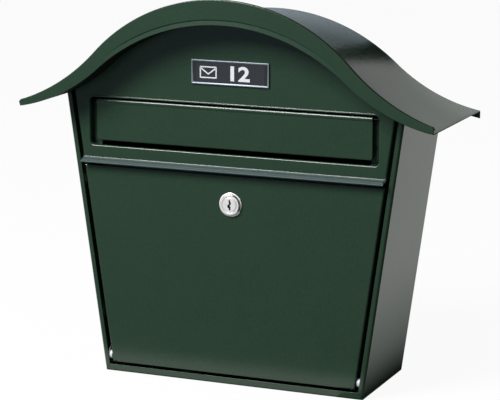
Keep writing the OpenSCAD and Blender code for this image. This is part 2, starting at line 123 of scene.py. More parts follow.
def makePowderCoat(name, green, paler, coarse=1.0, roughness=powderCoat["roughness"],
                   gloss=powderCoat["gloss"]):
    material, tree, shader, place = newMaterial(name)
    c = powderCoat
    cloud = addNode(tree, "ShaderNodeTexNoise", {"Scale": 1 / c["cloud"], "Detail": 3.0}, {"Vector": place})
    peel = addNode(tree, "ShaderNodeTexNoise", {"Scale": 1 / (c["peel"] * coarse), "Detail": 1.0},
                   {"Vector": place})
    grain = addNode(tree, "ShaderNodeTexNoise", {"Scale": 1 / (c["grain"] * coarse), "Detail": 2.0},
                    {"Vector": place})
    fleck = addNode(tree, "ShaderNodeTexNoise", {"Scale": 1 / c["fleck"], "Detail": 2.0}, {"Vector": place})
    pigment = addNode(tree, "ShaderNodeMix", {"Factor": c["fleckShare"]},
                      {"A": cloud.outputs["Fac"], "B": fleck.outputs["Fac"]})
    tone = addNode(tree, "ShaderNodeMix", {}, {"Factor": pigment.outputs["Result"]}, data_type="RGBA")
    tone.inputs["A"].default_value = hexColour(green)
    tone.inputs["B"].default_value = hexColour(paler)
    # painted shade: the more closed in a gap or corner is, the darker its colour and the weaker its gloss
    reach = addNode(tree, "ShaderNodeAmbientOcclusion", {"Distance": c["gap"]}, samples=8)
    paintedShade = addNode(tree, "ShaderNodeMapRange",
                   {"From Min": c["shadeShut"], "From Max": c["shadeOpen"], "To Min": c["shadeLeast"]},
                   {"Value": reach.outputs["AO"]})
    coat = addNode(tree, "ShaderNodeVectorMath", {}, {0: tone.outputs["Result"], 1: paintedShade.outputs["Result"]},
                   operation="MULTIPLY")
    tree.links.new(coat.outputs[0], shader.inputs["Base Color"])
    shine = addNode(tree, "ShaderNodeMath", {1: gloss}, {0: paintedShade.outputs["Result"]}, operation="MULTIPLY")
    tree.links.new(shine.outputs[0], shader.inputs["Specular IOR Level"])
    sheen = addNode(tree, "ShaderNodeMapRange",
                    {"From Min": c["grainSpan"][0], "From Max": c["grainSpan"][1],
                     "To Min": roughness - c["glossier"], "To Max": roughness + c["duller"]},
                    {"Value": grain.outputs["Fac"]})
    tree.links.new(sheen.outputs["Result"], shader.inputs["Roughness"])
    edge = addNode(tree, "ShaderNodeBevel", {"Radius": c["edge"]}, samples=6)
    low = addNode(tree, "ShaderNodeBump", {"Strength": c["peelStrength"], "Distance": c["peelDepth"]},
                  {"Height": peel.outputs["Fac"], "Normal": edge.outputs["Normal"]})
    high = addNode(tree, "ShaderNodeBump",
                   {"Strength": c["grainStrength"], "Distance": c["grainDepth"] * coarse ** c["deepen"]},
                   {"Height": grain.outputs["Fac"], "Normal": low.outputs["Normal"]})
    tree.links.new(high.outputs["Normal"], shader.inputs["Normal"])
    shader.inputs["IOR"].default_value = c["ior"]
    return material


# Painted shade: a matt, nearly black finish put under the roof, behind the fascia
# and in the groove of the lip, where those places lie in shade.
shadeBlack = {"tones": ("0C110E", "18201B"), "roughness": 0.85, "gloss": 0.12, "cloud": 0.012}


def makeShadeBlack():
    material, tree, shader, place = newMaterial("matt_black_painted_shade")
    cloud = addNode(tree, "ShaderNodeTexNoise", {"Scale": 1 / shadeBlack["cloud"], "Detail": 4.0},
                    {"Vector": place})
    tone = addNode(tree, "ShaderNodeMix", {}, {"Factor": cloud.outputs["Fac"]}, data_type="RGBA")
    tone.inputs["A"].default_value = hexColour(shadeBlack["tones"][0])
    tone.inputs["B"].default_value = hexColour(shadeBlack["tones"][1])
    tree.links.new(tone.outputs["Result"], shader.inputs["Base Color"])
    shader.inputs["Roughness"].default_value = shadeBlack["roughness"]
    shader.inputs["Specular IOR Level"].default_value = shadeBlack["gloss"]
    return material


# Electro-plated zinc on pressed steel: a soft grey metal with faint crystals.
zincPlate = {"tones": ("9DA2A6", "B4B7B7"), "roughness": (0.34, 0.5), "crystal": 0.004, "edge": 0.0002}


def makeZincSteel():
    material, tree, shader, place = newMaterial("zinc_plated_pressed_steel")
    c = zincPlate
    flake = addNode(tree, "ShaderNodeTexVoronoi", {"Scale": 1 / c["crystal"]}, {"Vector": place})
    rough = addNode(tree, "ShaderNodeMapRange", {"To Min": c["roughness"][0], "To Max": c["roughness"][1]},
                    {"Value": flake.outputs["Distance"]})
    tree.links.new(rough.outputs["Result"], shader.inputs["Roughness"])
    tone = addNode(tree, "ShaderNodeMix", {}, {"Factor": flake.outputs["Distance"]}, data_type="RGBA")
    tone.inputs["A"].default_value = hexColour(c["tones"][0])
    tone.inputs["B"].default_value = hexColour(c["tones"][1])
    tree.links.new(tone.outputs["Result"], shader.inputs["Base Color"])
    edge = addNode(tree, "ShaderNodeBevel", {"Radius": c["edge"]}, samples=4)
    tree.links.new(edge.outputs["Normal"], shader.inputs["Normal"])
    shader.inputs["Metallic"].default_value = 1.0
    return material


# Drawn steel wire blackened in an oxide bath: a dark, slightly oily metal.
blackOxide = {
    "tone": "1B1B1D",
    "roughness": (0.45, 0.6),
    "streaks": (30, 700, 700),            # streaks in a metre along the wire and across it
}


def makeBlackOxide():
    material, tree, shader, place = newMaterial("black_oxide_on_drawn_steel")
    c = blackOxide
    streak = addNode(tree, "ShaderNodeMapping", {"Scale": c["streaks"]}, {"Vector": place})
    lines = addNode(tree, "ShaderNodeTexNoise", {"Scale": 1.0, "Detail": 3.0}, {"Vector": streak.outputs[0]})
    rough = addNode(tree, "ShaderNodeMapRange", {"To Min": c["roughness"][0], "To Max": c["roughness"][1]},
                    {"Value": lines.outputs["Fac"]})
    tree.links.new(rough.outputs["Result"], shader.inputs["Roughness"])
    shader.inputs["Base Color"].default_value = hexColour(c["tone"])
    shader.inputs["Metallic"].default_value = 1.0
    return material


# Nickel plated over turned zinc: the faces are satin, with fine rings left by the tool,
# the rounded flanks are polished, and the key slot is painted dark: painted shade for its depth.
nickelPlate = {
    "tone": "F4F2EE",
    "slotShadeTone": "0B0A09",
    "satin": (0.66, 0.76),                # roughness of the faces
    "polish": 0.16,                       # roughness of the flanks
    "polishEnds": -0.75,                  # y of the normal up to which a flank stays polished
    "satinStarts": -0.97,                 # and from which a face is wholly satin
    "haze": 0.002,
    "ring": 0.0011,
    "ringDepth": 0.00005,
    "ringStrength": 0.2,
    "ringWobble": 0.3,
    "edge": 0.00025,
    "slotReach": 0.0052,                  # from the middle to just past the key slot's ends
    "slotShadeStarts": 0.0005,                  # depth below the plug's face
    "slotShadeFull": 0.0008,
}


def makeNickelPlate():
    material, tree, shader, place = newMaterial("nickel_plated_turned_zinc")
    c = nickelPlate
    low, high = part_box("lock_plug")
    local = addNode(tree, "ShaderNodeMapping", {"Location": -(low + high) / 2}, {"Vector": place})
    rings = addNode(tree, "ShaderNodeTexWave", {"Scale": 1 / c["ring"], "Distortion": c["ringWobble"]},
                    {"Vector": local.outputs[0]}, wave_type="RINGS", rings_direction="Y")
    edge = addNode(tree, "ShaderNodeBevel", {"Radius": c["edge"]}, samples=6)
    bump = addNode(tree, "ShaderNodeBump", {"Strength": c["ringStrength"], "Distance": c["ringDepth"]},
                   {"Height": rings.outputs["Fac"], "Normal": edge.outputs["Normal"]})
    tree.links.new(bump.outputs["Normal"], shader.inputs["Normal"])
    haze = addNode(tree, "ShaderNodeTexNoise", {"Scale": 1 / c["haze"], "Detail": 3.0}, {"Vector": place})
    satin = addNode(tree, "ShaderNodeMapRange", {"To Min": c["satin"][0], "To Max": c["satin"][1]},
                    {"Value": haze.outputs["Fac"]})
    facing = addNode(tree, "ShaderNodeSeparateXYZ", {},
                     {"Vector": addNode(tree, "ShaderNodeTexCoord").outputs["Normal"]})
    front = addNode(tree, "ShaderNodeMapRange", {"From Min": c["polishEnds"], "From Max": c["satinStarts"]},
                    {"Value": facing.outputs["Y"]})
    rough = addNode(tree, "ShaderNodeMix", {"A": c["polish"]},
                    {"Factor": front.outputs["Result"], "B": satin.outputs["Result"]})
    tree.links.new(rough.outputs["Result"], shader.inputs["Roughness"])
    # painted shade: the key slot is darkened from just below the plug's face
    deep = addNode(tree, "ShaderNodeSeparateXYZ", {}, {"Vector": place})
    slotShade = addNode(tree, "ShaderNodeMapRange",
                  {"From Min": low.y + c["slotShadeStarts"], "From Max": low.y + c["slotShadeFull"]},
                  {"Value": deep.outputs["Y"]})
    radius = addNode(tree, "ShaderNodeVectorMath", {1: (1, 0, 1)}, {0: local.outputs[0]},
                     operation="MULTIPLY")
    away = addNode(tree, "ShaderNodeVectorMath", {}, {0: radius.outputs[0]}, operation="LENGTH")
    inSlot = addNode(tree, "ShaderNodeMath", {1: c["slotReach"]}, {0: away.outputs["Value"]},
                     operation="LESS_THAN")
    dark = addNode(tree, "ShaderNodeMath", {}, {0: slotShade.outputs["Result"], 1: inSlot.outputs[0]},
                   operation="MULTIPLY")
    tone = addNode(tree, "ShaderNodeMix", {}, {"Factor": dark.outputs[0]}, data_type="RGBA")
    tone.inputs["A"].default_value = hexColour(c["tone"])
    tone.inputs["B"].default_value = hexColour(c["slotShadeTone"])
    tree.links.new(tone.outputs["Result"], shader.inputs["Base Color"])
    shader.inputs["Metallic"].default_value = 1.0
    return material


# Extruded aluminium, brushed along its length and clear anodised: a soft grey with a long grain.
brushedAluminium = {
    "tone": "A0A8AE",
    "roughness": (0.48, 0.62),
    "streaks": (40, 900, 900),            # brush marks in a metre along the plate and across it
    "streakScale": 1.5,
    "streakDepth": 0.00005,
    "streakStrength": 0.15,
    "edge": 0.00025,
}


def makeBadgeMetal():
    material, tree, shader, place = newMaterial("brushed_anodised_aluminium")
    c = brushedAluminium
    stretched = addNode(tree, "ShaderNodeMapping", {"Scale": c["streaks"]}, {"Vector": place})
    lines = addNode(tree, "ShaderNodeTexNoise", {"Scale": c["streakScale"], "Detail": 4.0},
                    {"Vector": stretched.outputs[0]})
    edge = addNode(tree, "ShaderNodeBevel", {"Radius": c["edge"]}, samples=6)
    bump = addNode(tree, "ShaderNodeBump", {"Strength": c["streakStrength"], "Distance": c["streakDepth"]},
                   {"Height": lines.outputs["Fac"], "Normal": edge.outputs["Normal"]})
    tree.links.new(bump.outputs["Normal"], shader.inputs["Normal"])
    rough = addNode(tree, "ShaderNodeMapRange", {"To Min": c["roughness"][0], "To Max": c["roughness"][1]},
                    {"Value": lines.outputs["Fac"]})
    tree.links.new(rough.outputs["Result"], shader.inputs["Roughness"])
    shader.inputs["Base Color"].default_value = hexColour(c["tone"])
    shader.inputs["Metallic"].default_value = 1.0
    return material


# Screen print under a clear lacquer: a flat ground with a little mottling.
screenPrint = {
    "charcoal": ("34373B", 0.8),          # tone, and how bright its darker mottles are
    "white": ("E4E6E8", 0.9),
    "mottle": 0.0012,
    "roughness": 0.3,
}


def makeScreenPrint(name, code, mottled):
    material, tree, shader, place = newMaterial(name)
    mottle = addNode(tree, "ShaderNodeTexNoise", {"Scale": 1 / screenPrint["mottle"], "Detail": 3.0},
                     {"Vector": place})
    darker = Vector(hexColour(code)[:3]) * mottled
    tone = addNode(tree, "ShaderNodeMix", {}, {"Factor": mottle.outputs["Fac"]}, data_type="RGBA")
    tone.inputs["A"].default_value = (*darker, 1)
    tone.inputs["B"].default_value = hexColour(code)
    tree.links.new(tone.outputs["Result"], shader.inputs["Base Color"])
    shader.inputs["Roughness"].default_value = screenPrint["roughness"]
    return material


# Moulded EPDM rubber: matt black with a dusty bloom.
rubber = {"tones": ("101112", "1D1E1F"), "roughness": 0.7, "bloom": 0.003}


def makeRubber():
    material, tree, shader, place = newMaterial("moulded_epdm_rubber")
    bloom = addNode(tree, "ShaderNodeTexNoise", {"Scale": 1 / rubber["bloom"], "Detail": 4.0},
                    {"Vector": place})
    tone = addNode(tree, "ShaderNodeMix", {}, {"Factor": bloom.outputs["Fac"]}, data_type="RGBA")
    tone.inputs["A"].default_value = hexColour(rubber["tones"][0])
    tone.inputs["B"].default_value = hexColour(rubber["tones"][1])
    tree.links.new(tone.outputs["Result"], shader.inputs["Base Color"])
    shader.inputs["Roughness"].default_value = rubber["roughness"]
    return material


# Natural nylon 6, injection moulded: milky white and faintly waxy.
nylon = {
    "tone": "DDE0E4",
    "roughness": 0.42,
    "ior": 1.53,
    "skin": 0.0015,                       # width of one dimple of the moulded skin
    "skinDepth": 0.00005,
    "skinStrength": 0.1,
}


def makeNylon():
    material, tree, shader, place = newMaterial("moulded_natural_nylon")
    c = nylon
    skin = addNode(tree, "ShaderNodeTexNoise", {"Scale": 1 / c["skin"], "Detail": 2.0}, {"Vector": place})
    bump = addNode(tree, "ShaderNodeBump", {"Strength": c["skinStrength"], "Distance": c["skinDepth"]},
                   {"Height": skin.outputs["Fac"]})
    tree.links.new(bump.outputs["Normal"], shader.inputs["Normal"])
    shader.inputs["Base Color"].default_value = hexColour(c["tone"])
    shader.inputs["Roughness"].default_value = c["roughness"]
    shader.inputs["IOR"].default_value = c["ior"]
    return material


finishes = {
    "green": makePowderCoat("polyester_powder_coat_baked_on_steel", *powderCoat["green"]),
    "lipLitGreen": makePowderCoat("polyester_powder_coat_on_pressed_ribs", *powderCoat["lipLitGreen"],
                               roughness=powderCoat["lipRoughness"], gloss=powderCoat["lipGloss"]),
    "roofShadedGreen": makePowderCoat("polyester_powder_coat_on_rolled_roof", *powderCoat["roofShadedGreen"],
                                coarse=powderCoat["roofCoarse"]),
    "shadeBlack": makeShadeBlack(),
    "zinc": makeZincSteel(),
    "black": makeBlackOxide(),
    "nickel": makeNickelPlate(),
    "badgeMetal": makeBadgeMetal(),
    "badgePrint": makeScreenPrint("charcoal_screen_print_on_aluminium", *screenPrint["charcoal"]),
    "badgeWhite": makeScreenPrint("white_screen_print_on_aluminium", *screenPrint["white"]),
    "rubber": makeRubber(),
    "nylon": makeNylon(),
}
nodeFinish = {
    "green": ["body_shell", "back_panel", "roof_sheet", "front_fascia", "roof_seats", "upper_panel",
              "slot_flap", "door_pan"],
    "zinc": ["latch_rail", "flap_rod_caps", "hinge_brackets", "hinge_rivets",
             "lock_washer", "lock_nut", "lock_cam", "cam_washer", "cam_screw", "badge_pins"],
    "black": ["flap_rod"],
    "nickel": ["lock_body", "lock_plug"],
    "badgeMetal": ["badge_frame"],
    "badgePrint": ["badge_field"],
    "rubber": ["flap_buffers"],
    "nylon": ["hinge_washers"],
}
for finish, names in nodeFinish.items():
    for name in names:
        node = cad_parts[name]
        node.data.materials.clear()
        node.data.materials.append(finishes[finish])
print("finishes made and put on the packed nodes")


# Modelling helpers: a face or edge is picked by where it lies, as it would be by eye.
near = {
    "level": 1e-7,        # points whose depths differ less than this lie at one level
    "point": 1e-6,        # points nearer than this are the same
    "seam": 1e-5,         # the two halves of a mirrored piece join over this
}
crispAngle = math.radians(35)             # edges sharper than this stay crisp
cutAngle = math.radians(50)               # edges sharper than this are cut edges and get rounded


def deselectAll():
    if bpy.context.object and bpy.context.object.mode != "OBJECT":
        bpy.ops.object.mode_set(mode="OBJECT")
    bpy.ops.object.select_all(action="DESELECT")


def pick(kind, rule):  # selects the vertices, edges or faces of the piece being edited that obey a rule
    bpy.ops.mesh.select_all(action="DESELECT")
    bpy.ops.object.mode_set(mode="OBJECT")
    mesh = bpy.context.object.data
    for item in getattr(mesh, kind):
        item.select = bool(rule(mesh, item))
    bpy.ops.object.mode_set(mode="EDIT")


def makeActive(piece):
    deselectAll()
    piece.select_set(True)
    bpy.context.view_layer.objects.active = piece


def startPoint(name, place):  # a piece that starts as one vertex
    deselectAll()
    bpy.ops.mesh.primitive_plane_add(size=0.001, location=place)
    piece = bpy.context.object
    piece.name = piece.data.name = name
    bpy.ops.object.transform_apply(location=True)
    bpy.ops.object.mode_set(mode="EDIT")
    bpy.ops.mesh.select_mode(type="VERT")
    bpy.ops.mesh.merge(type="CENTER")
    return piece


def mendMesh(piece, outward=None):  # doubles merged, normals outwards; an open sheet faces the given way
    makeActive(piece)
    bpy.ops.object.mode_set(mode="EDIT")
    bpy.ops.mesh.select_all(action="SELECT")
    bpy.ops.mesh.remove_doubles(threshold=near["point"])
    bpy.ops.mesh.normals_make_consistent(inside=False)
    bpy.ops.object.mode_set(mode="OBJECT")
    if outward and sum(f.normal.dot(outward) * f.area for f in piece.data.polygons) < 0:
        bpy.ops.object.mode_set(mode="EDIT")
        bpy.ops.mesh.flip_normals()
        bpy.ops.object.mode_set(mode="OBJECT")


def dressPiece(piece, finish, body, slot, *nodes):
    makeActive(piece)
    bpy.ops.object.transform_apply(location=True, rotation=True, scale=True)
    piece.data.materials.clear()
    piece.data.materials.append(finishes[finish])
    mendMesh(piece)
    bpy.ops.object.shade_smooth_by_angle(angle=crispAngle)
    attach(piece, body)
    if nodes:
        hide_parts(*nodes)


def useModifier(piece, kind, **settings):
    bpy.context.view_layer.objects.active = piece
    modifier = piece.modifiers.new(kind.lower(), kind)
    for name, value in settings.items():
        setattr(modifier, name, value)
    bpy.ops.object.modifier_apply(modifier=modifier.name)


def roundCutEdges(piece, width):
    useModifier(piece, "BEVEL", width=width, segments=2, limit_method="ANGLE", angle_limit=cutAngle,
                use_clamp_overlap=False)


# The curved roof is rolled as an S: a crown arc to the turning point, then an end arc the
# other way. The crescent in front follows the same line below and a fuller one above.
roofCurve = {"crownRadius": 0.174, "turnX": 0.1152, "sweepRadius": 0.1608}
crestCurve = {"crownRadius": 0.1641, "turnX": 0.1187, "sweepRadius": 0.1781}
curveSteps = {"crown": 30, "sweep": 20}
roof = {
    "sheet": 0.001,
    "bend": 0.0016,
    "bendSteps": 5,
    "rearFlange": 0.006,
    "edge": 0.00025,                    # rounding of the cut edges
    "underside": -0.3,                  # faces whose normal points down more than this are painted black, painted shade
}
fascia = {
    "height": 0.0217,                   # of the crescent at the middle
    "creaseUp": 0.0042,                 # crease above the lower edge
    "creaseDepth": 0.0009,
    "creaseStep": 0.0004,               # height of the sharp step from the fold up to the face
    "creaseHalf": 0.110,                # how far out the crease runs
    "creaseFade": 4,                    # power by which it keeps its depth and then fades out
    "sheet": 0.001,
    "return": 0.004,
    "bend": 0.0005,
    "bendSteps": 3,
    "rows": 54,
    "tip": 0.0031,                      # from each end to where the tip begins to round
    "tipSteps": 7,
    "tipClose": 0.1,                    # how far the last step narrows, just short of a point
    "edge": 0.0003,                     # rounding of the cut edges
    "backIn": 0.0009,                   # depth behind the face from which all is painted black, painted shade
    "topside": 0.3,                     # nearer the face, only what points up more than this
}


def spinCurve(curve, crestZ, depth, tipX, drop=0.0):  # half of an S-curve, moved square to itself by drop
    lean = math.asin(curve["turnX"] / curve["crownRadius"])
    crown = curve["crownRadius"] - drop
    sweep = curve["sweepRadius"] + drop
    mid = crestZ - curve["crownRadius"]
    piece = startPoint("rolled_curve", (0, depth, crestZ - drop))
    bpy.ops.mesh.spin(steps=curveSteps["crown"], angle=lean, center=(0, depth, mid), axis=(0, -1, 0))
    turn = Vector((crown * math.sin(lean), depth, mid + crown * math.cos(lean)))
    centre = turn + Vector((sweep * math.sin(lean), 0, sweep * math.cos(lean)))
    endLean = math.asin((centre.x - tipX) / sweep)
    bpy.ops.mesh.spin(steps=curveSteps["sweep"], angle=endLean - lean, center=centre, axis=(0, -1, 0))
    bpy.ops.object.mode_set(mode="OBJECT")
    return piece


def loftCurves(name, curves, lastRows=0):
    # bridges each curve to the next; each lies at its own depth, and the last two may share one
    piece = curves[0]
    depths = [curve.data.vertices[0].co.y for curve in curves]
    for k in range(1, len(curves)):
        makeActive(piece)
        curves[k].select_set(True)
        bpy.ops.object.join()
        bpy.ops.object.mode_set(mode="EDIT")
        bpy.ops.mesh.select_mode(type="EDGE")
        pair = depths[k - 1:k + 1]
        level = lambda m, e: [m.vertices[i].co.y for i in e.vertices]
        pick("edges", lambda m, e: any(all(abs(y - d) < near["level"] for y in level(m, e)) for d in pair))
        rows = lastRows if k == len(curves) - 1 else 0
        bpy.ops.mesh.bridge_edge_loops(number_cuts=rows, interpolation="LINEAR")
        bpy.ops.object.mode_set(mode="OBJECT")
    piece.name = piece.data.name = name
    return piece


def aboveCurve(curve, crestZ, point):  # height of a point above an S-curve, square to it
    lean = math.asin(curve["turnX"] / curve["crownRadius"])
    mid = crestZ - curve["crownRadius"]
    x = abs(point.x)
    if x * math.cos(lean) <= (point.z - mid) * math.sin(lean):
        return math.hypot(x, point.z - mid) - curve["crownRadius"]
    reach = curve["crownRadius"] + curve["sweepRadius"]
    across = x - reach * math.sin(lean)
    return curve["sweepRadius"] - math.hypot(across, point.z - mid - reach * math.cos(lean))


def recoat(piece, finish, rule):  # gives the faces that obey a rule another finish
    piece.data.materials.append(finishes[finish])
    bpy.ops.object.mode_set(mode="EDIT")
    bpy.ops.mesh.select_mode(type="FACE")
    pick("polygons", rule)
    piece.active_material_index = len(piece.data.materials) - 1
    bpy.ops.object.material_slot_assign()
    bpy.ops.object.mode_set(mode="OBJECT")


def makeRoof():
    low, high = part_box("roof_sheet")
    r = roof
    crestZ = high.z - r["sheet"]
    curves = [spinCurve(roofCurve, crestZ, low.y, high.x, -r["sheet"])]
    for k in range(r["bendSteps"] + 1):
        turn = math.radians(90 * k / r["bendSteps"])
        curves.append(spinCurve(roofCurve, crestZ, high.y - r["bend"] * (1 - math.sin(turn)), high.x,
                                r["bend"] * (1 - math.cos(turn)) - r["sheet"]))
    curves.append(spinCurve(roofCurve, crestZ, high.y, high.x, r["rearFlange"]))
    piece = loftCurves("rolled_roof_sheet", curves)
    useModifier(piece, "MIRROR", use_axis=(True, False, False), merge_threshold=near["seam"])
    mendMesh(piece, Vector((0, 0, 1)))
    useModifier(piece, "SOLIDIFY", thickness=r["sheet"], offset=-1, use_even_offset=True)
    roundCutEdges(piece, r["edge"])
    # the roof gets the darker copy of the green, painted shade
    dressPiece(piece, "roofShadedGreen", "housing", "green_powder_coat", "roof_sheet")
    # painted shade: the roof's underside is painted black
    recoat(piece, "shadeBlack", lambda m, f: f.normal.z < r["underside"])


def makeFascia():
    low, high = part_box("front_fascia")
    c = fascia
    face = low.y
    tipX = high.x - c["tip"]
    footZ = high.z - c["height"]
    curves = [spinCurve(crestCurve, high.z, face + c["return"], tipX)]
    for k in range(c["bendSteps"], -1, -1):
        turn = math.radians(90 * k / c["bendSteps"])
        curves.append(spinCurve(crestCurve, high.z, face + c["bend"] * (1 - math.cos(turn)), tipX,
                                c["bend"] * (1 - math.sin(turn))))
    curves.append(spinCurve(roofCurve, footZ, face, tipX))
    piece = loftCurves("crescent_fascia", curves, c["rows"])
    # the round tip, drawn out and narrowed step by step
    makeActive(piece)
    bpy.ops.object.mode_set(mode="EDIT")
    atTip = lambda v: abs(v.co.x - tipX) < near["point"]
    pick("edges", lambda m, e: all(atTip(m.vertices[k]) for k in e.vertices))
    tips = [v.co.z for v in piece.data.vertices if atTip(v)]
    tipZ = (min(tips) + max(tips)) / 2
    tipR = (max(tips) - min(tips)) / 2
    steps = c["tipSteps"]
    for k in range(1, steps + 1):
        last, now = (math.radians(90 * j / steps) for j in (k - 1, k))
        step = tipR * (math.sin(now) - math.sin(last))
        bpy.ops.mesh.extrude_region_move(TRANSFORM_OT_translate={"value": (step, 0, 0)})
        narrow = math.cos(now) / math.cos(last) if k < steps else c["tipClose"]
        bpy.ops.transform.resize(value=(1, 1, narrow), center_override=(tipX, face, tipZ))
    bpy.ops.object.mode_set(mode="OBJECT")
    # the crease: pressed back along a line above the lower edge, running out at both ends
    for v in piece.data.vertices:
        if v.co.y > face + near["level"]:
            continue
        up = aboveCurve(roofCurve, footZ, v.co)
        fade = max(0.0, 1 - (abs(v.co.x) / c["creaseHalf"]) ** c["creaseFade"])
        below = up / c["creaseUp"]
        above = 1 - (up - c["creaseUp"]) / c["creaseStep"]
        v.co.y += c["creaseDepth"] * fade * max(0.0, min(below, above))
    useModifier(piece, "MIRROR", use_axis=(True, False, False), merge_threshold=near["seam"])
    mendMesh(piece, Vector((0, -1, 0)))
    useModifier(piece, "SOLIDIFY", thickness=c["sheet"], offset=-1)
    roundCutEdges(piece, c["edge"])
    dressPiece(piece, "green", "housing", "green_powder_coat", "front_fascia")
    # painted shade: the back and top of the fascia's return are painted black for the shadow where it meets
    # the roof
    recoat(piece, "shadeBlack", lambda m, f: f.center.y > face + c["bend"] / 2 and
           (f.center.y > face + c["backIn"] or f.normal.z > c["topside"]))


makeRoof()
makeFascia()
print("roof rolled, fascia bent and creased")

# The upper panel's foot is bent out into a drip lip with two flat ribs pressed along it
# and a round nose. The coat is glossy in the bend, duller and painted paler on the ribs (a painted
# highlight), and painted black in the groove (painted shade).
lip = {
    "fall": 22.6,                       # degrees below level
    "length": 0.0074,                   # from the corner of the bend to the middle of the nose
    "skin": 0.00052,                    # from the middle of the sheet to just over its face
    "thick": 0.0002,
    "bend": 0.0010,
    "bendSteps": 8,
    "ribs": 2,
    "ribSteps": 10,
    "ribHigh": 0.0008,
    "ribRound": 0.35,                   # power that leaves a rib flat on top, below 1
    "groove": 0.0008,                   # width painted black between the ribs, painted shade
    "nose": 0.00083,
    "noseIn": 0.0008,                   # middle of the nose from the panel's front and foot
    "noseTurn": 110,                    # degrees round the nose, counted from its top
    "noseSteps": 10,
    "beyondDoor": 0.0002,               # how much wider than the door's upper edge
}


def makeRibbedLip():
    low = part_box("upper_panel")[0]
    c = lip
    fall = math.radians(c["fall"])
    out = Vector((0, -math.cos(fall), -math.sin(fall)))
    up = Vector((0, -math.sin(fall), math.cos(fall)))
    nose = Vector((0, low.y + c["noseIn"], low.z + c["noseIn"]))
    corner = nose + up * c["skin"] - out * c["length"]
    # the bend, an arc that touches the panel and the lip
    opening = math.radians(90) + fall
    reach = c["bend"] / math.tan(opening / 2)
    centre = corner + out * reach + up * c["bend"]
    profile = []
    for k in range(c["bendSteps"] + 1):
        turn = (math.pi - opening) * (1 - k / c["bendSteps"])
        profile.append(centre - up * c["bend"] * math.cos(turn) - out * c["bend"] * math.sin(turn))
    # the ribs, up to where the lip runs into the round nose
    bendEnd = profile[-1]
    sink = math.acos(c["skin"] / c["nose"])
    flat = c["length"] - reach - c["nose"] * math.sin(sink)
    steps = c["ribSteps"] * c["ribs"]
    for k in range(1, steps):
        rise = c["ribHigh"] * abs(math.sin(math.pi * c["ribs"] * k / steps)) ** c["ribRound"]
        profile.append(bendEnd + out * flat * k / steps + up * rise)
    for k in range(c["noseSteps"] + 1):
        turn = -sink + (sink + math.radians(c["noseTurn"])) * k / c["noseSteps"]
        profile.append(nose + up * c["nose"] * math.cos(turn) + out * c["nose"] * math.sin(turn))
    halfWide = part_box("door_pan")[1].x + c["beyondDoor"]
    piece = startPoint("ribbed_drip_lip", profile[0] - Vector((halfWide, 0, 0)))
    for last, point in zip(profile, profile[1:]):
        bpy.ops.mesh.extrude_region_move(TRANSFORM_OT_translate={"value": point - last})
    bpy.ops.mesh.select_mode(type="EDGE")
    bpy.ops.mesh.select_all(action="SELECT")
    bpy.ops.mesh.extrude_region_move(TRANSFORM_OT_translate={"value": (2 * halfWide, 0, 0)})
    bpy.ops.object.mode_set(mode="OBJECT")
    mendMesh(piece, up)
    useModifier(piece, "SOLIDIFY", thickness=c["thick"], offset=-1)
    # the ribs get the paler copy of the green, a painted highlight
    dressPiece(piece, "lipLitGreen", "housing", "green_powder_coat")
    along = lambda f: (f.center - bendEnd).dot(out)
    recoat(piece, "green", lambda m, f: along(f) < 0)
    # painted shade: the groove between the ribs is painted black
    recoat(piece, "shadeBlack", lambda m, f: abs(along(f) - flat / 2) < c["groove"] / 2)


# The name plate carries no name: a plain envelope and a house number, printed in white.
sign = {
    "thick": 0.00008,                 # how far a print stands out
    "ink": 0.9,                       # share of that which the ink fills, so it clears the field
    "envelope": (0.0160, 0.0104),     # width and height
    "envelopeX": -0.0205,             # from the middle of the field
    "corner": 0.0009,
    "line": 0.0011,
    "flapIn": 0.0006,                 # from the envelope's edges to the line of its flap
    "flapFall": 0.52,                 # share of the height down to the flap's point
    "flapLine": 1.25,                 # a slanting line needs more height to look as wide
    "number": "12",
    "numberHigh": 0.0132,
    "numberWide": 1.25,
    "numberBold": 0.03,
    "numberSteps": 6,
    "numberX": 0.0095,
    "endBand": 0.0022,                # black strip beside the printed sheet at each end: painted shade
    "endIn": 0.0001,                  # from the field's end
    "endShort": 0.0003,               # how much shorter than the field is high
    "endCorner": 0.0003,
}
plate = {
    "rim": 0.0019,
    "step": 0.0007,                   # width of the sloping inner edge
    "stepDepth": 0.0010,
    "shoulder": 0.0004,
    "sideEdge": 0.0009,               # edges deeper than this at the ends are the frame's corners
}


def plainPlate(name, middle, width, height):  # an upright rectangle that faces the street
    deselectAll()
    bpy.ops.mesh.primitive_plane_add(size=1, location=middle, rotation=(math.radians(90), 0, 0))
    piece = bpy.context.object
    piece.name = piece.data.name = name
    piece.scale = (width, height, 1)
    bpy.ops.object.transform_apply(location=True, rotation=True, scale=True)
    return piece


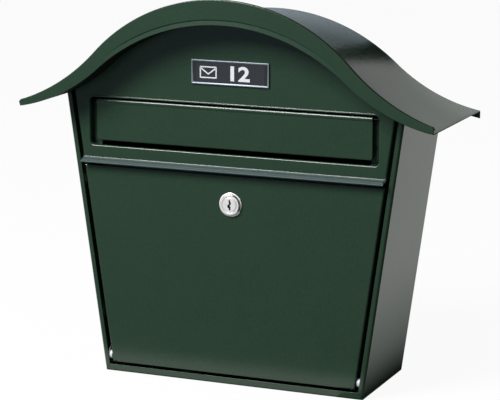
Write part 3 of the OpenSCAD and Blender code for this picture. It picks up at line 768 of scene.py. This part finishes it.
def makePlateFrame():  # a drawn aluminium frame: a flat rim, a rounded shoulder and a sloping inner edge
    low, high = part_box("badge_frame")
    piece = plainPlate("name_plate_frame", ((low.x + high.x) / 2, high.y, (low.z + high.z) / 2),
                       high.x - low.x, high.z - low.z)
    bpy.ops.object.mode_set(mode="EDIT")
    bpy.ops.mesh.select_all(action="SELECT")
    bpy.ops.mesh.extrude_region_move(TRANSFORM_OT_translate={"value": (0, low.y - high.y, 0)})
    bpy.ops.mesh.inset(thickness=plate["rim"] - plate["step"], depth=0)
    bpy.ops.mesh.inset(thickness=plate["step"], depth=-plate["stepDepth"])
    bpy.ops.object.mode_set(mode="OBJECT")
    mendMesh(piece)
    bpy.ops.object.mode_set(mode="EDIT")
    bpy.ops.mesh.select_mode(type="EDGE")
    ends = lambda m, e: [m.vertices[k].co for k in e.vertices]
    inFront = lambda a, b: max(a.y, b.y) < low.y + near["point"]
    atEnd = lambda a, b: min(abs(a.x), abs(b.x)) > high.x - near["seam"]
    atCorner = lambda a, b: abs(a.y - b.y) > plate["sideEdge"] and atEnd(a, b)
    pick("edges", lambda m, e: inFront(*ends(m, e)) or atCorner(*ends(m, e)))
    bpy.ops.mesh.bevel(offset=plate["shoulder"], segments=3, affect="EDGES")
    bpy.ops.object.mode_set(mode="OBJECT")
    dressPiece(piece, "badgeMetal", "housing", "badge_aluminium", "badge_frame")


def makeSign():
    low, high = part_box("badge_field")
    face = low.y
    middle = Vector(((low.x + high.x) / 2, face - sign["thick"], (low.z + high.z) / 2))
    # the envelope: a rectangle with rounded corners whose middle is cut out
    wide, tall = sign["envelope"]
    envelope = plainPlate("envelope_print", middle + Vector((sign["envelopeX"], 0, 0)), wide, tall)
    bpy.ops.object.mode_set(mode="EDIT")
    bpy.ops.mesh.select_all(action="SELECT")
    bpy.ops.mesh.bevel(offset=sign["corner"], segments=4, affect="VERTICES")
    bpy.ops.mesh.select_mode(type="FACE")
    bpy.ops.mesh.select_all(action="SELECT")
    bpy.ops.mesh.inset(thickness=sign["line"], depth=0)
    bpy.ops.mesh.delete(type="FACE")
    bpy.ops.object.mode_set(mode="OBJECT")
    # its folded flap: a chevron drawn as a line and widened downwards
    left = middle + Vector((sign["envelopeX"] - wide / 2 + sign["flapIn"], 0, tall / 2 - sign["flapIn"]))
    chevron = startPoint("envelope_flap_print", left)
    half = wide / 2 - sign["flapIn"]
    fall = tall * sign["flapFall"]
    bpy.ops.mesh.extrude_region_move(TRANSFORM_OT_translate={"value": (half, 0, -fall)})
    bpy.ops.mesh.extrude_region_move(TRANSFORM_OT_translate={"value": (half, 0, fall)})
    bpy.ops.mesh.select_mode(type="EDGE")
    bpy.ops.mesh.select_all(action="SELECT")
    bpy.ops.mesh.extrude_region_move(
        TRANSFORM_OT_translate={"value": (0, 0, -sign["line"] * sign["flapLine"])})
    bpy.ops.object.mode_set(mode="OBJECT")
    # the number: a text made mesh, stood upright and scaled to its height
    deselectAll()
    bpy.ops.object.text_add(rotation=(math.radians(90), 0, 0))
    number = bpy.context.object
    number.data.body = sign["number"]
    number.data.align_x = "CENTER"
    number.data.align_y = "CENTER"
    number.data.offset = sign["numberBold"]
    number.data.resolution_u = sign["numberSteps"]
    bpy.ops.object.convert(target="MESH")
    number = bpy.context.object
    number.name = number.data.name = "house_number_print"
    bpy.ops.object.transform_apply(location=False, rotation=True, scale=True)
    size = sign["numberHigh"] / number.dimensions.z
    number.scale = (size * sign["numberWide"], 1, size)
    bpy.ops.object.transform_apply(location=False, rotation=False, scale=True)
    corners = [Vector(c) for c in number.bound_box]
    centre = (Vector((min(c.x for c in corners), 0, min(c.z for c in corners))) +
              Vector((max(c.x for c in corners), 0, max(c.z for c in corners)))) / 2
    number.location = middle + Vector((sign["numberX"], 0, 0)) - centre
    bpy.ops.object.transform_apply(location=True)
    for piece in (envelope, chevron, number):
        mendMesh(piece, Vector((0, -1, 0)))
        useModifier(piece, "SOLIDIFY", thickness=sign["thick"] * sign["ink"], offset=-1)
        dressPiece(piece, "badgeWhite", "housing", "badge_grey_print")
    # a black strip at each end of the printed sheet: painted shade in the gap beside it
    for side in (-1, 1):
        centre = Vector((side * (high.x - sign["endBand"] / 2 - sign["endIn"]), middle.y, middle.z))
        band = plainPlate("plate_end_painted_shade_" + ("left" if side < 0 else "right"), centre, sign["endBand"],
                          high.z - low.z - sign["endShort"])
        bpy.ops.object.mode_set(mode="EDIT")
        bpy.ops.mesh.select_all(action="SELECT")
        bpy.ops.mesh.bevel(offset=sign["endCorner"], segments=3, affect="VERTICES")
        bpy.ops.object.mode_set(mode="OBJECT")
        mendMesh(band, Vector((0, -1, 0)))
        useModifier(band, "SOLIDIFY", thickness=sign["thick"] * sign["ink"], offset=-1)
        dressPiece(band, "rubber", "housing", "badge_grey_print")


makeRibbedLip()
makePlateFrame()
makeSign()
print("lip ribbed, name plate framed and printed")

# Meant as a fine thread on the lock's barrel that ends at its two flats. It isn't one yet: the
# screw turns about the origin and not about the barrel, so only short strips are left of it.
thread = {
    "barrel": 0.0093,
    "pitch": 0.0010,
    "flank": 0.42,                      # width of each flank as a share of the pitch
    "depth": 0.0002,
    "sunk": 0.0002,                     # how far its root lies inside the barrel
    "length": 0.0128,
    "end": 0.0009,                      # from the barrel's end
    "flat": 0.008,
    "steps": 48,                        # in one turn
}


def makeThread():
    low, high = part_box("lock_body")
    c = thread
    axis = Vector(((low.x + high.x) / 2, high.y - c["end"] - c["length"], (low.z + high.z) / 2))
    piece = startPoint("barrel_thread", axis)
    out = c["depth"] + c["sunk"]
    along = c["pitch"] * c["flank"]
    bpy.ops.transform.translate(value=(c["barrel"] - c["sunk"], 0, 0))
    bpy.ops.mesh.extrude_region_move(TRANSFORM_OT_translate={"value": (out, along, 0)})
    bpy.ops.mesh.extrude_region_move(TRANSFORM_OT_translate={"value": (-out, along, 0)})
    bpy.ops.mesh.select_all(action="SELECT")
    bpy.ops.mesh.edge_face_add()
    bpy.ops.object.mode_set(mode="OBJECT")
    turns = int((c["length"] - 2 * along) / c["pitch"])
    useModifier(piece, "SCREW", axis="Y", angle=math.radians(360), screw_offset=c["pitch"],
                iterations=turns, steps=c["steps"], render_steps=c["steps"])
    bpy.ops.object.mode_set(mode="EDIT")
    for side in (-1, 1):
        bpy.ops.mesh.select_all(action="SELECT")
        bpy.ops.mesh.bisect(plane_co=axis + Vector((side * c["flat"], 0, 0)), plane_no=(side, 0, 0),
                            use_fill=True, clear_outer=True)
    bpy.ops.object.mode_set(mode="OBJECT")
    mendMesh(piece)
    dressPiece(piece, "nickel", "door", "nickel_plated_zinc")


makeThread()
print("thread cut")

low, high = (Vector(corner) for corner in cadBox)
middle = (low + high) / 2
studio = {
    "floorHalf": 3.0,
    "floorPaper": "F2F2F2",
    "floorRoughness": 0.9,
    "floorTone": "8A8A8A",    # what the floor throws back up on the piece
    "paper": 0.94,            # share of plain white in the floor, the rest takes the shadow
    "mirrored": 0.45,         # the same share where the floor is seen in a reflection
    "keyPower": 56.0,
    "keySize": 0.85,
    "keyPlace": (-0.75, -1.35, 1.45),
    "ambient": 0.22,          # what the white room adds to matt surfaces
    "ambientTone": "E9EEFF",
}
# cards that only reflections see: middle, width, height, turn about x, y and z, tone;
# a graded card has its axis and the tones along it instead
cards = {
    "dim_room": ((0.0, -2.6, 0.6), 9.0, 5.5, (90, 0, 0), "7C869B"),
    "dim_floor": ((0.0, -1.40, -0.1040), 5.0, 2.48, (0, 0, 0), "59616E"),
    "black_side": ((0.40, -0.44, 0.15), 0.76, 0.80, (0, -50, 0), "040404"),
    "grey_back": ((-1.15, 1.6, 0.70), 2.5, 1.4, (90, 0, 0),
                  ("X", ((0.0, "B8C4CE"), (0.80, "B4C0CA"), (0.88, "A6B2BB"), (0.92, "98A3AB"),
                         (0.97, "7F8A91"), (1.0, "76818A")))),
    "black_strip": ((0.1075, 0.100, 0.285), 0.038, 0.34, (90, 8.5, 0), "020202"),
    "white_strip": ((0.242, 0.102, 0.285), 0.260, 0.33, (90, 0, 0),
                    ("Y", ((0.0, "C4C8C4"), (0.25, "C9CDC9"), (0.40, "F0F4F0"), (0.50, "FFFFFF")))),
    "black_overhead": ((0.75, -0.60, 1.30), 1.3, 1.6, (0, 0, 0), "060606"),
    "black_behind_right": ((0.44, -0.07, 0.02), 0.46, 0.24, (90, 0, -30), "040404"),
    "black_low_right": ((0.331, -0.184, -0.1035), 0.40, 0.40, (0, 0, -32), "040404"),
    # the right side of the box mirrors this one, so it is dark at the foot of the box: the card's dark end
    # is the box's shadow on the floor, painted in
    "graded_floor": ((0.55, 0.67, -0.1042), 0.9, 1.6, (0, 0, 0),
                     ("X", ((0.0, "0A0A0A"), (0.029, "1A1C1A"), (0.062, "A9AEAB"), (0.137, "E6EAE6"),
                            (0.24, "E2E6E2"), (0.70, "F0F4F0")))),
}


def addFloor():
    deselectAll()
    bpy.ops.mesh.primitive_plane_add(size=2 * studio["floorHalf"], location=(middle.x, middle.y, low.z))
    floor = bpy.context.object
    floor.name = "studio_floor"
    material, tree, shader = newMaterial("pale_paper_floor")[:3]
    shader.inputs["Base Color"].default_value = hexColour(studio["floorPaper"])
    shader.inputs["Roughness"].default_value = studio["floorRoughness"]
    white = addNode(tree, "ShaderNodeEmission", {"Color": (1, 1, 1, 1), "Strength": 1.0})
    dull = addNode(tree, "ShaderNodeBsdfDiffuse", {"Color": hexColour(studio["floorTone"])})
    path = addNode(tree, "ShaderNodeLightPath")
    paper = addNode(tree, "ShaderNodeMixShader", {0: studio["paper"]},
                    {1: shader.outputs[0], 2: white.outputs[0]})
    mirrored = addNode(tree, "ShaderNodeMixShader", {0: studio["mirrored"]},
                       {1: shader.outputs[0], 2: white.outputs[0]})
    bounce = addNode(tree, "ShaderNodeMixShader", {},
                     {0: path.outputs["Is Glossy Ray"], 1: dull.outputs[0], 2: mirrored.outputs[0]})
    mix = addNode(tree, "ShaderNodeMixShader", {},
                  {0: path.outputs["Is Camera Ray"], 1: bounce.outputs[0], 2: paper.outputs[0]})
    out = next(n for n in tree.nodes if n.type == "OUTPUT_MATERIAL")
    tree.links.new(mix.outputs[0], out.inputs["Surface"])
    floor.data.materials.append(material)


def addCard(name, centre, width, height, turns, tone):
    deselectAll()
    bpy.ops.mesh.primitive_plane_add(size=1, location=centre, rotation=[math.radians(t) for t in turns])
    card = bpy.context.object
    card.name = "studio_card_" + name
    card.scale = (width, height, 1)
    for ray in ("camera", "diffuse", "shadow", "transmission", "volume_scatter"):
        setattr(card, "visible_" + ray, False)
    material, tree, shader, place = newMaterial("card_" + name)
    tree.nodes.remove(shader)
    out = next(n for n in tree.nodes if n.type == "OUTPUT_MATERIAL")
    glow = addNode(tree, "ShaderNodeEmission", {"Strength": 1.0})
    tree.links.new(glow.outputs[0], out.inputs["Surface"])
    if isinstance(tone, str):
        glow.inputs["Color"].default_value = hexColour(tone)
    else:
        axis, stops = tone
        along = addNode(tree, "ShaderNodeSeparateXYZ", {}, {"Vector": place})
        # the card's middle is half way along its tones
        share = addNode(tree, "ShaderNodeMath", {1: 0.5}, {0: along.outputs[axis]}, operation="ADD")
        ramp = addNode(tree, "ShaderNodeValToRGB", {}, {"Fac": share.outputs[0]})
        tones = ramp.color_ramp.elements
        for element, (position, code) in zip(tones, (stops[0], stops[-1])):
            element.position = position
            element.color = hexColour(code)
        for position, code in stops[1:-1]:
            tones.new(position).color = hexColour(code)
        tree.links.new(ramp.outputs["Color"], glow.inputs["Color"])
    card.data.materials.append(material)


def addLamp(name, place, aim, size, power):
    lamp = bpy.data.lights.new(name, "AREA")
    lamp.shape = "SQUARE"
    lamp.size = size
    lamp.energy = power
    holder = bpy.data.objects.new(name, lamp)
    bpy.context.scene.collection.objects.link(holder)
    holder.location = place
    holder.rotation_euler = (Vector(aim) - Vector(place)).to_track_quat("-Z", "Y").to_euler()
    holder.visible_camera = False


def makeWorld():  # white wherever it is seen or mirrored, and a dim fill on matt surfaces
    world = bpy.data.worlds.new("studio_white")
    bpy.context.scene.world = world
    world.use_nodes = True
    tree = world.node_tree
    tree.nodes.clear()
    fill = addNode(tree, "ShaderNodeBackground",
                   {"Color": hexColour(studio["ambientTone"]), "Strength": studio["ambient"]})
    white = addNode(tree, "ShaderNodeBackground", {"Color": (1, 1, 1, 1), "Strength": 1.0})
    path = addNode(tree, "ShaderNodeLightPath")
    mirrored = addNode(tree, "ShaderNodeMath", {},
                       {0: path.outputs["Is Glossy Ray"], 1: path.outputs["Is Transmission Ray"]},
                       operation="MAXIMUM")
    seen = addNode(tree, "ShaderNodeMath", {}, {0: path.outputs["Is Camera Ray"], 1: mirrored.outputs[0]},
                   operation="MAXIMUM")
    mix = addNode(tree, "ShaderNodeMixShader", {},
                  {0: seen.outputs[0], 1: fill.outputs[0], 2: white.outputs[0]})
    addNode(tree, "ShaderNodeOutputWorld", feeds={"Surface": mix.outputs[0]})


addFloor()
for cardName, card in cards.items():
    addCard(cardName, *card)
addLamp("key_softbox", studio["keyPlace"], middle, studio["keySize"], studio["keyPower"])
makeWorld()

viewPoint = {
    "turn": 22.843,        # degrees to the right of straight on
    "rise": 11.792,        # degrees above level
    "distance": 1.9249,
    "aimOffset": (0.0183, -0.0390, -0.0036),   # from the middle of the box
    "lens": 159.24,
}


def addCamera():
    v = viewPoint
    turn = math.radians(v["turn"])
    rise = math.radians(v["rise"])
    aim = middle + Vector(v["aimOffset"])
    away = Vector((math.sin(turn) * math.cos(rise), -math.cos(turn) * math.cos(rise), math.sin(rise)))
    camera = bpy.data.objects.new("camera", bpy.data.cameras.new("camera"))
    bpy.context.scene.collection.objects.link(camera)
    camera.location = aim + away * v["distance"]
    camera.rotation_euler = (-away).to_track_quat("-Z", "Y").to_euler()
    camera.data.lens = v["lens"]
    bpy.context.scene.camera = camera


addCamera()
bpy.context.scene.view_settings.view_transform = "Standard"
print("studio and camera in place")
